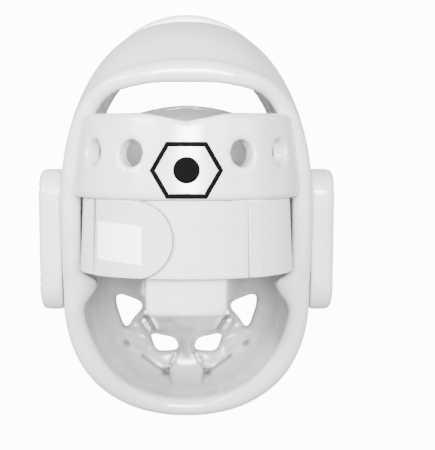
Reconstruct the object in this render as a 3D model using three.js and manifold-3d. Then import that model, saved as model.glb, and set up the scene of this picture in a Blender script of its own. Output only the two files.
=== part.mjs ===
// Karate head guard of dipped foam, lying on its face: a full-face shell that is open at the back,
// a raised pad on the crown, two ear pads, a back band with four vents, a nape pad, and the elastic
// closure with its hook tab, loop panel and blank label.
// Millimetres. +X is to the right as seen from behind the head, +Y runs from chin to crown, and
// +Z runs from the face to the back of the head. The floor is Z = 0.
import * as THREE from 'three';
import { mergeVertices } from 'three/addons/utils/BufferGeometryUtils.js';
import Module from 'manifold-3d';

const wasm = await Module();
wasm.setup();

// Driving sizes of the shell
const guardHeight = 302.5;      // crown pad top to chin
const shellWidth = 177;         // over the cheeks, without the ear pads
const rimDepth = 199;           // face to the rear edge of the crown arch
const crownPadRise = 11;        // crown pad top above the shell's crown
const frontWall = 16;           // foam over the face
const sideWall = 14;            // foam beside the ears
const crownWall = 16;
const legSwell = 4;             // extra foam in the legs of the crown arch, at its rear edge
const chinWall = 14;
const jawSwell = 3;             // extra foam at the corners of the jaw
const jawStart = 0.58;          // where it starts, as a share of the way from crown to chin
const cheekDepth = 84;          // depth at which the sides reach their full width
const browDepth = 104;          // depth at which the crown reaches its full height
const chinDepth = 62;           // depth at which the chin reaches its full drop
const flatHalfWidth = 30;       // flat of the face that the guard lies on
const flatTop = 70;             // flat's upper end, above the middle
const flatDrop = 114;           // flat's lower end, below the middle
const sideTop = 2;              // straight part of the side, upper end
const sideDrop = 60;            // straight part of the side, lower end, below the middle
const crownFall = 42;           // drop of the crown from its apex to its rear edge
const apexDepth = 116;          // depth of the crown's apex
const crownSquareness = 2.3;    // exponent of the crown's superellipse
const rearSquaring = 0.7;       // added to it on the inner face, at the rear edge
const chinSquareness = 2.2;     // exponent of the chin's superellipse
const rearDrawIn = 5;           // each side draws in by this much at the rear edge
const seat = 0.3;               // gap between two pieces that touch

// Openings of the shell
const crownOpeningDepth = 66;   // depth of the crown arch's front edge
const crownOpeningHalfWidth = 67;
const foreheadTop = 89.5;       // middle of the forehead pad's upper edge
const foreheadRadius = 113;
const eyeTop = 40;
const eyeDrop = 36;             // below the middle
const eyeHalfWidth = 61;
const eyeCorner = 26;
const outerVent = { width: 22, height: 29, middleX: 46, middleDrop: 75 };
const innerVent = { width: 23, height: 15, middleX: 17.5, middleDrop: 100.5 };

// Ear pads
const earThickness = 16.5;
const earHeight = 102;
const earDepth = 64;
const earMiddleDrop = 16;
const earMiddleDepth = 98;
const earCorner = 20;
const earSlant = 14;            // the upper end lies this much further back
const earRound = 4;

// Crown pad
const crownPadWidth = 104;
const crownPadDepth = 24;
const crownPadCorner = 8;
const crownPadSquareness = 2.15;

// Back band, an arc behind the ears
const arcDepth = 150;           // depth of the arcs' centre line
const bandBack = 228;           // depth of the band's outer face at the middle
const bandHalfWidth = 79;
const bandTaper = 5;            // the upper edge is this much nearer to the middle
const bandRise = 5;             // both edges rise by this much towards the ears
const bandTop = 67;
const bandHeight = 57;
const bandThickness = 12;
const notchDepth = 6;
const notchHalfWidth = 27;
const ventDiameter = 17.5;
const bandVents = [
  { turn: 28, height: 0.55 },   // turn from the middle in degrees, height as a share of the band
  { turn: 54, height: 0.58 },
];

// Closure strap and nape pad
const strapHeight = 49;
const strapClearance = 1.3;     // strap to the shell's inner side wall
const strapBack = 226.5;        // depth of the loop panel's outer face
const strapTaper = 2;
const strapRise = 3.5;          // the lower edge rises by this much towards the ears
const strapLean = 2;            // the lower edge lies this much nearer to the head
const webThickness = 1.8;
const elasticTail = 30;         // length of elastic on the inside of the shell's side
const hookReach = 51;           // width of the hook tab as seen from behind
const hookLeft = 60;            // distance of the tab's sewn end from the middle
const loopRight = 41;           // distance of the loop panel's sewn end from the middle
const labelWidth = 30;
const labelHeight = 25;
const labelTilt = 7;            // degrees
const labelThickness = 0.5;
const labelInset = 1.5;         // label to the tab's sewn end
const napeWidth = 53;
const napeDrop = 65;            // lower edge, below the middle
const napeThickness = 11;
const napeLean = 11;
const napeCorner = 7;
const napeTopCorner = 0.5;
const napeHalfTurn = 45;        // degrees of the arc that the nape pad is cut from
const seamTurn = 1;             // degrees that the loop panel starts past the tab's sewn end
const seatTurn = 0.3;           // degrees between the ends of two pieces that touch

// Fineness of the facets
const quarterSteps = 12;
const sideSteps = 3;
const wallSteps = 13;
const rimSteps = 5;
const arcSteps = 28;
const ventSteps = 20;
const cornerSteps = 6;
const stationCrowding = 1.8;    // exponent that crowds the depth stations near the face
const weldGap = 1e-4;           // points closer than this are one

const halfHeight = guardHeight / 2;
const halfWidth = shellWidth / 2;
const crownTop = halfHeight - crownPadRise;
const strapHalfWidth = halfWidth - sideWall - strapClearance;
const bandDrop = bandTop - bandHeight;
const strapTop = bandDrop - seat;
const strapBottom = strapTop - strapHeight;
const degrees = Math.PI / 180;
const margin = 1;               // each cutter runs this far past what it cuts

// Shares of the rim's greatest depth, from the crown (way 0) round the side to the chin (way 1)
const rimTable = [
  { way: 0.00, depth: 1.00 },
  { way: 0.12, depth: 0.985 },
  { way: 0.25, depth: 0.90 },
  { way: 0.40, depth: 0.78 },
  { way: 0.60, depth: 0.61 },
  { way: 0.75, depth: 0.50 },
  { way: 0.90, depth: 0.385 },
  { way: 1.00, depth: 0.355 },
];

const foam = { color: 0xf4f4f2, roughness: 0.35, metalness: 0 };
const web = { color: 0xefefec, roughness: 0.85, metalness: 0 };
const fleece = { color: 0xf0f0ee, roughness: 0.95, metalness: 0 };
const paper = { color: 0xffffff, roughness: 0.6, metalness: 0 };

// Smooth reading of a table between its rows
function readTable(table, key, value, at) {
  const last = table.length - 1;
  const row = Math.max(0, table.findLastIndex((entry) => entry[key] <= at));
  if (row >= last) return table[last][value];
  const share = (at - table[row][key]) / (table[row + 1][key] - table[row][key]);
  const before = table[Math.max(row - 1, 0)][value];
  const [from, to] = [table[row][value], table[row + 1][value]];
  const after = table[Math.min(row + 2, last)][value];
  const slopeIn = (to - before) / 2;
  const slopeOut = (after - from) / 2;
  const bend = 3 * (to - from) - 2 * slopeIn - slopeOut;
  const twist = 2 * (from - to) + slopeIn + slopeOut;
  return from + slopeIn * share + bend * share ** 2 + twist * share ** 3;
}

// Rounding from the flat of the face (0) to full girth (1), a superellipse over the given depth
function rounding(depth, fullDepth) {
  const roundness = 2.3;
  if (depth >= fullDepth) return 1;
  return (1 - (1 - Math.max(depth, 0) / fullDepth) ** roundness) ** (1 / roundness);
}

// Places round the girth: way runs from the crown (0) down each side to the chin (1)
function girthPlaces() {
  const half = [];
  const quarterWay = 1 - jawStart;
  for (let step = 0; step <= quarterSteps; step++) {
    const share = step / quarterSteps;
    half.push({ way: quarterWay * share, end: 'crown', angle: 90 * (1 - share), slide: 0 });
  }
  for (let step = 1; step < sideSteps; step++) {
    const share = step / sideSteps;
    half.push({ way: quarterWay + (1 - 2 * quarterWay) * share, end: 'side', angle: 0, slide: share });
  }
  for (let step = 0; step <= quarterSteps; step++) {
    const share = step / quarterSteps;
    half.push({ way: 1 - quarterWay + quarterWay * share, end: 'chin', angle: 90 * share, slide: 0 });
  }
  const left = half.map((place) => ({ ...place, side: -1 }));
  const right = half.slice(1, -1).reverse().map((place) => ({ ...place, side: 1 }));
  return [...left, ...right];
}

// Point of the shell's outer face (inset 0) or inner face (inset 1), grown outwards by spare, or raised
// at the crown with a squareness of its own
function shellPoint(place, depth, inset, spare, rise = 0, crownShape = crownSquareness) {
  const back = Math.max(0, depth - apexDepth) / (rimDepth - apexDepth);
  const swell = jawSwell * Math.sin(Math.PI * Math.max(0, (place.way - jawStart) / (1 - jawStart)));
  const legShare = Math.sin(Math.PI * Math.min(1, place.way / (1 - jawStart)));
  const start = inset * frontWall;
  const round = (fullDepth) => rounding(depth - start, fullDepth - start);
  const wide = flatHalfWidth + (halfWidth - inset * (sideWall + swell) - flatHalfWidth) * round(cheekDepth)
    - rearDrawIn * back ** 2 - legSwell * inset * back * legShare + spare;
  const high = flatTop + (crownTop - inset * crownWall - flatTop) * round(browDepth)
    - crownFall * back ** 2 + rise + spare;
  const low = flatDrop + (halfHeight - inset * chinWall - flatDrop) * round(chinDepth) + spare;
  const squareness = place.end === 'crown' ? crownShape + rearSquaring * inset * back : chinSquareness;
  const across = Math.cos(place.angle * degrees) ** (2 / squareness);
  const along = Math.sin(place.angle * degrees) ** (2 / squareness);
  const y = {
    crown: sideTop + (high - sideTop) * along,
    side: sideTop + (-sideDrop - sideTop) * place.slide,
    chin: -sideDrop - (low - sideDrop) * along,
  }[place.end];
  return [place.side * wide * across, y, depth];
}

// Closed solid from a grid of points: rows of equal length that close on themselves, ends capped
function gridSolid(rows, firstCap, lastCap) {
  const points = rows.flat();
  const count = rows[0].length;
  const triangles = [];
  for (let row = 0; row + 1 < rows.length; row++) {
    for (let step = 0; step < count; step++) {
      const [a, b] = [row * count + step, row * count + (step + 1) % count];
      triangles.push(a, b, b + count, a, b + count, a + count);
    }
  }
  const cap = (middle, row, turned) => {
    const index = points.push(middle) - 1;
    for (let step = 0; step < count; step++) {
      const [a, b] = [row * count + step, row * count + (step + 1) % count];
      triangles.push(...(turned ? [index, b, a] : [index, a, b]));
    }
  };
  cap(firstCap, 0, true);
  cap(lastCap, rows.length - 1, false);
  return solidFrom(points.flat(), triangles);
}

// Solid from a flat list of coordinates and a list of triangles
function solidFrom(coordinates, triangles) {
  const geometry = new THREE.BufferGeometry();
  geometry.setAttribute('position', new THREE.Float32BufferAttribute(coordinates, 3));
  geometry.setIndex(triangles);
  return toSolid(geometry);
}

// Closed solid from a geometry, its equal points merged
function toSolid(geometry) {
  geometry.deleteAttribute('normal');
  geometry.deleteAttribute('uv');
  const merged = mergeVertices(geometry, weldGap);
  const solid = new wasm.Manifold(new wasm.Mesh({
    numProp: 3,
    vertProperties: Float32Array.from(merged.attributes.position.array),
    triVerts: Uint32Array.from(merged.index.array),
  }));
  return solid;
}

// Named mesh of a solid
function toMesh(name, solid, finish) {
  const { vertProperties, triVerts } = solid.getMesh();
  const geometry = new THREE.BufferGeometry();
  geometry.setAttribute('position', new THREE.BufferAttribute(Float32Array.from(vertProperties), 3));
  geometry.setIndex(new THREE.BufferAttribute(Uint32Array.from(triVerts), 1));
  geometry.computeVertexNormals();
  const mesh = new THREE.Mesh(geometry, new THREE.MeshStandardMaterial(finish));
  mesh.name = name;
  return mesh;
}

// Prism of an outline drawn in X and Y, from one depth to another
function prism(outline, from, to) {
  const depth = to - from;
  const sweep = { depth, bevelEnabled: false, curveSegments: cornerSteps };
  const geometry = new THREE.ExtrudeGeometry(outline, sweep);
  geometry.translate(0, 0, from);
  return toSolid(geometry);
}

// Outline of a rectangle with rounded corners
function roundedRectangle(left, bottom, width, height, corner) {
  const outline = new THREE.Shape();
  const [right, top] = [left + width, bottom + height];
  outline.moveTo(left + corner, bottom).lineTo(right - corner, bottom);
  outline.absarc(right - corner, bottom + corner, corner, -Math.PI / 2, 0, false);
  outline.absarc(right - corner, top - corner, corner, 0, Math.PI / 2, false);
  outline.absarc(left + corner, top - corner, corner, Math.PI / 2, Math.PI, false);
  outline.absarc(left + corner, bottom + corner, corner, Math.PI, 1.5 * Math.PI, false);
  return outline;
}

const places = girthPlaces();
const rimAt = (place) => rimDepth * readTable(rimTable, 'way', 'depth', place.way);
const facePoint = (depth) => [0, (flatTop - flatDrop) / 2, depth];

// Spacing of the depth stations, closer together near the face
const stationShare = (step) => (step / wallSteps) ** stationCrowding;

// The shell's outer form without its hollow, grown outwards by spare and longer at the rim by spare
function filledShell(spare, rise, crownShape) {
  const rows = [];
  for (let step = 0; step <= wallSteps; step++) {
    rows.push(places.map((place) => {
      const depth = rimAt(place) * stationShare(step);
      const point = shellPoint(place, depth, 0, spare, rise, crownShape);
      const grown = step === wallSteps ? depth + spare : depth - spare * (1 - stationShare(step));
      return [point[0], point[1], grown];
    }));
  }
  return gridSolid(rows, facePoint(-spare), facePoint(arcDepth));
}

// The hollow shell: outer face, half-round rim and inner face, moved back by shift
function shellBody(shift = 0) {
  const rows = [];
  const shoulder = (place) => rimAt(place) - sideWall / 2;
  for (let step = 0; step <= wallSteps; step++) {
    rows.push(places.map((place) => shellPoint(place, shoulder(place) * stationShare(step), 0, 0)));
  }
  for (let step = 1; step < rimSteps; step++) {
    const turn = Math.PI * step / rimSteps;
    rows.push(places.map((place) => {
      const outer = shellPoint(place, shoulder(place), 0, 0);
      const inner = shellPoint(place, shoulder(place), 1, 0);
      const blend = (1 - Math.cos(turn)) / 2;
      const [x, y] = [0, 1].map((axis) => outer[axis] + (inner[axis] - outer[axis]) * blend);
      return [x, y, shoulder(place) + sideWall / 2 * Math.sin(turn)];
    }));
  }
  for (let step = wallSteps; step >= 0; step--) {
    rows.push(places.map((place) => {
      const depth = frontWall + (shoulder(place) - frontWall) * stationShare(step);
      return shellPoint(place, depth, 1, 0);
    }));
  }
  for (const point of rows.flat()) point[2] += shift;
  return gridSolid(rows, facePoint(shift), facePoint(frontWall + shift));
}

// Opening over the forehead, bounded below by the forehead pad's arched upper edge
function crownOpening() {
  const outline = new THREE.Shape();
  const middle = foreheadTop - foreheadRadius;
  const reach = Math.asin(crownOpeningHalfWidth / foreheadRadius);
  outline.absarc(0, middle, foreheadRadius, Math.PI / 2 + reach, Math.PI / 2 - reach, true);
  outline.lineTo(crownOpeningHalfWidth, guardHeight).lineTo(-crownOpeningHalfWidth, guardHeight);
  return prism(outline, -margin, crownOpeningDepth);
}

// Opening in front of the eyes
function eyeOpening() {
  const height = eyeTop + eyeDrop;
  const outline = roundedRectangle(-eyeHalfWidth, -eyeDrop, 2 * eyeHalfWidth, height, eyeCorner);
  return prism(outline, -margin, cheekDepth);
}

// Breathing holes: corners as shares of each vent's half width and half height, from the middle out
function breathingHole(vent, corners, side) {
  const outline = new THREE.Shape();
  const points = corners.map(([across, up]) => new THREE.Vector2(
    side * (vent.middleX + across * vent.width / 2), -vent.middleDrop + up * vent.height / 2));
  outline.setFromPoints(side > 0 ? points : points.reverse());
  return prism(outline, -margin, cheekDepth);
}

const triangleCorners = [
  [-1, 0.45], [0.1, 0.8], [0.8, 1], [1, 0.85], [0.85, 0.2],
  [0.35, -0.95], [0.15, -1], [-0.2, -0.5], [-0.9, 0.1],
];
const quadCorners = [
  [-0.75, 0.45], [0.85, 1], [1, 0.8], [0.6, -0.9], [0.4, -1], [-0.9, -0.9], [-1, -0.55],
];

// Shell with all its openings
function foamShell() {
  let solid = shellBody().subtract(crownOpening()).subtract(eyeOpening());
  for (const side of [-1, 1]) {
    solid = solid.subtract(breathingHole(outerVent, triangleCorners, side));
    solid = solid.subtract(breathingHole(innerVent, quadCorners, side));
  }
  return solid;
}

// Thick pad on the outside of each ear, cut to the shell's side
function earPad(side) {
  const [low, high] = [-earMiddleDrop - earHeight / 2, -earMiddleDrop + earHeight / 2];
  const outline = roundedRectangle(-earDepth / 2, low, earDepth, high - low, earCorner);
  const inward = earThickness + rearDrawIn + sideWall / 2;
  const geometry = new THREE.ExtrudeGeometry(outline, {
    depth: inward - earRound, bevelEnabled: true, bevelThickness: earRound, bevelSize: earRound,
    bevelOffset: -earRound, bevelSegments: 2, curveSegments: 5,
  });
  const position = geometry.attributes.position;
  for (let index = 0; index < position.count; index++) {
    const [z, y, x] = [position.getX(index), position.getY(index), position.getZ(index)];
    const slant = earSlant * (y + earMiddleDrop) / earHeight;
    const outward = halfWidth + earThickness - inward + x;
    position.setXYZ(index, side * outward, y, earMiddleDepth + z + slant);
  }
  if (side > 0) flipFaces(geometry);
  return toSolid(geometry).subtract(filledShell(seat));
}

// Turns each face the other way round
function flipFaces(geometry) {
  const position = geometry.attributes.position;
  for (let index = 0; index < position.count; index += 3) {
    const first = new THREE.Vector3().fromBufferAttribute(position, index);
    const second = new THREE.Vector3().fromBufferAttribute(position, index + 1);
    position.setXYZ(index, ...second);
    position.setXYZ(index + 1, ...first);
  }
}

// Raised pad on the front of the crown, following the shell below it
function crownPad() {
  const outline = roundedRectangle(-crownPadWidth / 2, crownOpeningDepth, crownPadWidth, crownPadDepth,
    crownPadCorner);
  const column = prism(outline, 0, guardHeight).rotate([90, 0, 0]).translate([0, guardHeight, 0]);
  const raised = filledShell(0, crownPadRise, crownPadSquareness);
  return column.intersect(raised).subtract(filledShell(seat));
}

// Upright wall on an arc behind the head, from one turn to another, in degrees from the middle. Its
// upper edge rises by topRise towards the ears and its lower edge by rise. A wall that reaches the
// ears runs straight forward from there by tail.
function arcWall(size) {
  const { top, bottom, wide, back, thickness, taper = 0, lean = 0, rise = 0, topRise = rise } = size;
  const { from = -90, to = 90, tail = 0 } = size;
  const stations = [];
  if (from <= -90 && tail > 0) stations.push({ turn: -90, forward: tail });
  for (let step = 0; step <= arcSteps; step++) {
    stations.push({ turn: from + (to - from) * step / arcSteps, forward: 0 });
  }
  if (to >= 90 && tail > 0) stations.push({ turn: 90, forward: tail });
  const corner = (station, y, inset) => {
    const share = (y - bottom) / (top - bottom);
    const across = wide - taper * share - inset;
    const reach = back - lean * (1 - share) - arcDepth - inset;
    const turn = station.turn * degrees;
    const height = y + (rise + (topRise - rise) * share) * (1 - Math.cos(turn));
    return [across * Math.sin(turn), height, arcDepth + reach * Math.cos(turn) - station.forward];
  };
  const rows = stations.map((station) => [
    corner(station, bottom, 0), corner(station, bottom, thickness),
    corner(station, top, thickness), corner(station, top, 0),
  ]);
  const mean = (row, axis) => row.reduce((sum, point) => sum + point[axis], 0) / row.length;
  const middle = (row) => [0, 1, 2].map((axis) => mean(row, axis));
  return gridSolid(rows, middle(rows[0]), middle(rows.at(-1)));
}

// Back band with the notch in its upper edge and two vents on each side
function backBand() {
  const size = { top: bandTop, bottom: bandDrop, wide: bandHalfWidth, back: bandBack,
    thickness: bandThickness, taper: bandTaper, rise: bandRise };
  const notch = new THREE.Shape([
    new THREE.Vector2(-notchHalfWidth, bandTop + seat), new THREE.Vector2(-notchHalfWidth, bandTop),
    new THREE.Vector2(0, bandTop - notchDepth), new THREE.Vector2(notchHalfWidth, bandTop),
    new THREE.Vector2(notchHalfWidth, bandTop + seat),
  ]);
  let solid = arcWall(size).subtract(prism(notch, arcDepth, bandBack + margin));
  solid = solid.subtract(shellBody()).subtract(shellBody(seat));
  for (const side of [-1, 1]) {
    for (const { turn, height } of bandVents) {
      const radius = ventDiameter / 2;
      const drill = new THREE.CylinderGeometry(radius, radius, 4 * bandThickness, ventSteps);
      drill.rotateX(Math.PI / 2);
      drill.translate(0, 0, bandBack - arcDepth);
      drill.rotateY(side * turn * degrees);
      drill.translate(0, bandDrop + bandHeight * height, arcDepth);
      solid = solid.subtract(toSolid(drill));
    }
  }
  return solid;
}

// Nape pad, hanging from the band on the inside of the strap
function napePad() {
  const top = bandDrop - seat;
  const wall = arcWall({
    top,
    bottom: -napeDrop,
    wide: strapHalfWidth - webThickness,
    back: strapBack - webThickness - strapLean - seat,
    thickness: napeThickness,
    lean: napeLean,
    from: -napeHalfTurn,
    to: napeHalfTurn,
  });
  const outline = roundedRectangle(-napeWidth / 2, -napeDrop, napeWidth, top + napeDrop, napeCorner);
  const squareHeight = 2 * napeCorner;
  const squareTop = roundedRectangle(-napeWidth / 2, top - squareHeight, napeWidth, squareHeight + margin,
    napeTopCorner);
  return wall.intersect(prism(outline, arcDepth, bandBack).add(prism(squareTop, arcDepth, bandBack)));
}

const strapSize = {
  top: strapTop,
  bottom: strapBottom,
  wide: strapHalfWidth,
  back: strapBack,
  thickness: webThickness,
  taper: strapTaper,
  lean: strapLean,
  rise: strapRise,
  topRise: bandRise,
};
const outerLayer = {
  ...strapSize,
  wide: strapHalfWidth + webThickness + seat,
  back: strapBack + webThickness + seat,
};
const turnAt = (distance) => Math.asin(distance / strapHalfWidth) / degrees;

// Elastic at each side: an outer layer behind the head, then a tail on the inside of the shell's side
function elastic(side) {
  const start = side < 0 ? -turnAt(hookLeft) + seamTurn - seatTurn : turnAt(loopRight);
  const arc = side < 0 ? { from: -90, to: start } : { from: start, to: 90 };
  return arcWall({ ...strapSize, ...arc, tail: elasticTail });
}

// Loop panel between the two elastics, which the hook tab closes on
function loopPanel() {
  const from = -turnAt(hookLeft) + seamTurn;
  return arcWall({ ...strapSize, from, to: turnAt(loopRight) - seatTurn });
}

// Hook tab with a half-round free end, lying on the loop panel
function hookTab() {
  const wall = arcWall({ ...outerLayer, from: -turnAt(hookLeft) + seamTurn, to: 0 });
  const radius = strapHeight / 2;
  const middle = hookReach - hookLeft - radius;
  const outline = new THREE.Shape();
  outline.moveTo(-halfWidth, strapBottom).lineTo(middle, strapBottom);
  outline.absarc(middle, strapBottom + radius, radius, -Math.PI / 2, Math.PI / 2, false);
  outline.lineTo(middle - napeCorner, strapTop + bandRise).lineTo(-halfWidth, strapTop + bandRise);
  return wall.intersect(prism(outline, arcDepth, bandBack + strapHeight));
}

// Blank label sewn on the hook tab, a little askew
function careLabel() {
  const lift = webThickness + 2 * seat + labelThickness;
  const size = { ...strapSize, wide: strapHalfWidth + lift, back: strapBack + lift };
  const wall = arcWall({ ...size, thickness: labelThickness, from: -turnAt(hookLeft), to: 0 });
  const outline = new THREE.Shape();
  const [left, middle] = [-hookLeft + labelInset, (strapTop + strapBottom) / 2];
  const slope = Math.sin(labelTilt * degrees);
  const corners = [[0, -0.5], [1, -0.5], [1, 0.5], [0, 0.5]].map(([across, up]) => {
    const x = labelWidth * across;
    return new THREE.Vector2(left + x, middle + labelHeight * up - x * slope);
  });
  outline.setFromPoints(corners);
  return wall.intersect(prism(outline, arcDepth, bandBack + strapHeight));
}

const guard = new THREE.Group();
guard.add(
  toMesh('foam_shell', foamShell(), foam),
  toMesh('crown_pad', crownPad(), foam),
  toMesh('ear_pad_left', earPad(-1), foam),
  toMesh('ear_pad_right', earPad(1), foam),
  toMesh('back_band', backBand(), foam),
  toMesh('nape_pad', napePad(), foam),
  toMesh('elastic_left', elastic(-1), web),
  toMesh('elastic_right', elastic(1), web),
  toMesh('loop_panel', loopPanel(), fleece),
  toMesh('hook_tab', hookTab(), fleece),
  toMesh('care_label', careLabel(), paper),
);

export default guard;
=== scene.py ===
"""Karate head guard of white dipped foam, lying on its face and seen from straight above."""
import math

import bpy
import numpy as np
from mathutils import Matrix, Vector


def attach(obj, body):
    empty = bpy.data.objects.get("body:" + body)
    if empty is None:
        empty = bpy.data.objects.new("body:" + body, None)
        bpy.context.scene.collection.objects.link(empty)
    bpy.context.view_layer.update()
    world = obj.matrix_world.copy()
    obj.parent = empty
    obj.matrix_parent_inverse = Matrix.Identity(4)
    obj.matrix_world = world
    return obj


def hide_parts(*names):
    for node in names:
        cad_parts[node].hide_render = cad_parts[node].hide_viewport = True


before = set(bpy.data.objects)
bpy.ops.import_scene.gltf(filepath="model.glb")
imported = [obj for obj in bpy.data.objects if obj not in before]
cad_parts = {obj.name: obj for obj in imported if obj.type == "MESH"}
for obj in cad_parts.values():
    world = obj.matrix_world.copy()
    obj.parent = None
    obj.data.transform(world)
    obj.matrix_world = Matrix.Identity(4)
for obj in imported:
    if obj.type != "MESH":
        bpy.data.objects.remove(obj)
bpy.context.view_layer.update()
MM = 0.001

# Camera, from the photo's frame of 435 by 450 pixels
PHOTO_WIDTH = 435
PHOTO_HEIGHT = 450
FOCUS_PIXELS = 1247
AXIS_PIXEL = (186.5, 215)
CAMERA_HEIGHT = 1015 * MM
AXIS_Y = 1.75 * MM

# Shell, in millimetres, as the solids have it
GUARD_HEIGHT = 302.5
SHELL_WIDTH = 177
RIM_DEPTH = 199
CROWN_PAD_RISE = 11
FRONT_WALL = 16
SIDE_WALL = 14
CROWN_WALL = 16
LEG_SWELL = 4
CHIN_WALL = 14
JAW_SWELL = 3
JAW_START = 0.58
CHEEK_BULGE = 11        # inner foam stands in by this much just below the strap
BULGE_WAYS = (0.522, 0.545, 0.60)     # start, peak and end of the bulge, from crown to chin
BULGE_DEPTHS = (50, 110)              # the bulge grows between these depths
CHEEK_DEPTH = 84
BROW_DEPTH = 104
CHIN_DEPTH = 62
FLAT_HALF_WIDTH = 30
FLAT_TOP = 70
FLAT_DROP = 114
SIDE_TOP = 2
SIDE_DROP = 60
CROWN_FALL = 42
CROWN_SQUARENESS = 2.3  # exponent of the crown's superellipse
REAR_SQUARING = 0.7     # added to it on the inner face, at the rear edge
CHIN_SQUARENESS = 2.2
APEX_DEPTH = 116
REAR_DRAW_IN = 5
ROUNDNESS = 2.3
STATION_CROWDING = 1.8  # exponent that crowds the depth stations near the face

# Depth of the rear rim, as shares of the greatest, at ways from the crown (0) to the chin (1)
RIM_WAYS = (0.0, 0.12, 0.25, 0.40, 0.60, 0.75, 0.90, 1.0)
RIM_SHARES = (1.0, 0.985, 0.90, 0.78, 0.61, 0.50, 0.385, 0.355)

# Openings of the shell
CROWN_OPENING_DEPTH = 66
CROWN_OPENING_HALF_WIDTH = 67
FOREHEAD_TOP = 89.5
FOREHEAD_RADIUS = 113
EYE_TOP = 40
EYE_DROP = 36
EYE_HALF_WIDTH = 61
EYE_CORNER = 26
VENT_CUT_DEPTH = 60
OUTER_VENT = (46, -75, 11, 14.5)      # middle X, middle Y, half width, half height
INNER_VENT = (17.5, -100.5, 11.5, 7.5)
TRIANGLE = ((-1, 0.45), (0.1, 0.8), (0.8, 1), (1, 0.85), (0.85, 0.2), (0.35, -0.95), (0.15, -1),
            (-0.2, -0.5), (-0.9, 0.1))
QUAD = ((-0.75, 0.45), (0.85, 1), (1, 0.8), (0.6, -0.9), (0.4, -1), (-0.9, -0.9), (-1, -0.55))

# Back band and closure
ARC_DEPTH = 150
BAND_BACK = 228
BAND_HALF_WIDTH = 79
BAND_TAPER = 5
BAND_RISE = 5
BAND_TOP = 67
BAND_DROP = 10
BAND_THICKNESS = 12
NOTCH_DEPTH = 6
NOTCH_HALF_WIDTH = 27
BAND_VENTS = ((28, 41.4), (54, 43.0))  # turn in degrees, Y
VENT_RADIUS = 8.75
DRILL_REACH = 30
BAND_WAVE = 0.6         # height of the faint waves beside the vents
BAND_WAVE_PITCH = 6.0   # their length, divided by a full turn
SEAT = 0.3
STRAP_HEIGHT = 49
STRAP_TUCK = 0.1        # the strap's upper edge runs this far past the band's rounded lower edge
STRAP_TOP = BAND_DROP + STRAP_TUCK
STRAP_BOTTOM = BAND_DROP - SEAT - STRAP_HEIGHT
STRAP_CLEARANCE = 1.3
STRAP_HALF_WIDTH = SHELL_WIDTH / 2 - SIDE_WALL - STRAP_CLEARANCE
STRAP_BACK = 226.5
STRAP_TAPER = 2
STRAP_RISE = 3.5
STRAP_LEAN = 2
WEB = 1.8               # thickness of the elastic, the loop panel and the tab
TAIL = 30               # elastic on the inside of the shell's side
SEAM_TURN = 1           # degrees that the loop panel starts past the tab's sewn end
SEAT_TURN = 0.3         # degrees between the ends of two pieces that touch
HOOK_LEFT = 60          # distance of the tab's sewn end from the middle
HOOK_REACH = 51         # width of the tab as seen from behind
LOOP_RIGHT = 41         # distance of the loop panel's sewn end from the middle
TAB_MIDDLE = HOOK_REACH - HOOK_LEFT - (STRAP_TOP - STRAP_BOTTOM) / 2
NAPE_HALF_WIDTH = 26.5
NAPE_BOTTOM = -65
NAPE_THICKNESS = 11
NAPE_LEAN = 11
TAB_SHADE = 2.2         # width of the painted shade beside the tab's free end
TAB_RISE_RUN = 7        # the tab's upper edge starts to rise this far before the round end
TAB_MARGIN = 1
LABEL_WIDTH = 30
LABEL_HEIGHT = 25
LABEL_TILT = 7          # degrees
LABEL_INSET = 1.5
LABEL_THICKNESS = 0.5

# Rows of stitches, by their distances from the sewn ends and the edges beside them
STITCH_LIFT = 0.05
TAB_SEAM_INSET = 1.2
ROW_START = 3
ROW_END = 24
UPPER_ROW = (0.6, 1.6)
LOWER_ROW = (2.6, 1.6)
LEFT_ROW = 2
RIGHT_ROWS = (1.5, 9)
RIGHT_ROW_ENDS = (1.5, 1)

# Creases across the ear pads: height at the front, rise to the back, width
EAR_CREASES = ((-45, 6, 1.8), (-50, 3, 1.5), (-31, -4, 1.3), (18, 3, 1.4))
CREASE_DEPTH = 0.7

# Printed emblem on the band: a wide six-sided frame round a plain disc
EMBLEM_MIDDLE = 30
EMBLEM_HALF_WIDTH = 23.5
EMBLEM_HALF_HEIGHT = 18
EMBLEM_SHOULDER = 13
EMBLEM_DISC = 8.5
EMBLEM_LINE = 3
EMBLEM_LIFT = 0.3
EMBLEM_INK = 0.15

# Fineness of the skins, and how far each cutter runs past what it cuts
SHELL_VOXEL = 1.9 * MM
BAND_VOXEL = 1.5 * MM
EAR_VOXEL = 1.4 * MM
CROWN_VOXEL = 1.2 * MM
WELD_GAP = 0.02 * MM
PAST = 5

# Vinyl: greys of its mottling and of the painted shade deep inside the guard, and its range of roughness
SKIN_DARK = (0.54, 0.54, 0.535, 1)
SKIN_LIGHT = (0.62, 0.62, 0.615, 1)
SKIN_PAINTED_SHADE = (0.04, 0.04, 0.04, 1)
SKIN_ROUGHNESS = (0.2, 0.34)

# Noise scales, per metre, and the depth of the weave and fuzz in metres
WAVE_SCALE = 38
PEBBLE_SCALE = 900
FUZZ_SCALE = 1400
GRAIN_SCALE = 1800
WEAVE_DEPTH = 0.0004

# Grey of the painted shade on the cloth, as a share of its darker grey
SEAM_SHADE = 0.35

# Floor, sky and lamps: name, place, target and size in metres, power in watts
FLOOR_HALF_WIDTH = 4000
FLOOR_GREY = 0.3
FLOOR_GLOW = 12
SKY_STRENGTH = 0.06
LAMPS = (
    ("front_softbox", (0.05, 0.12, 1.45), (0, 0, 0.1), (0.45, 0.45), 82),
    ("left_strip", (-0.9, 0.35, 0.9), (0, 0, 0.12), (0.14, 0.8), 34),
    ("right_strip", (0.9, 0.25, 1.0), (0, 0, 0.12), (0.14, 0.9), 9),
)


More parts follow.
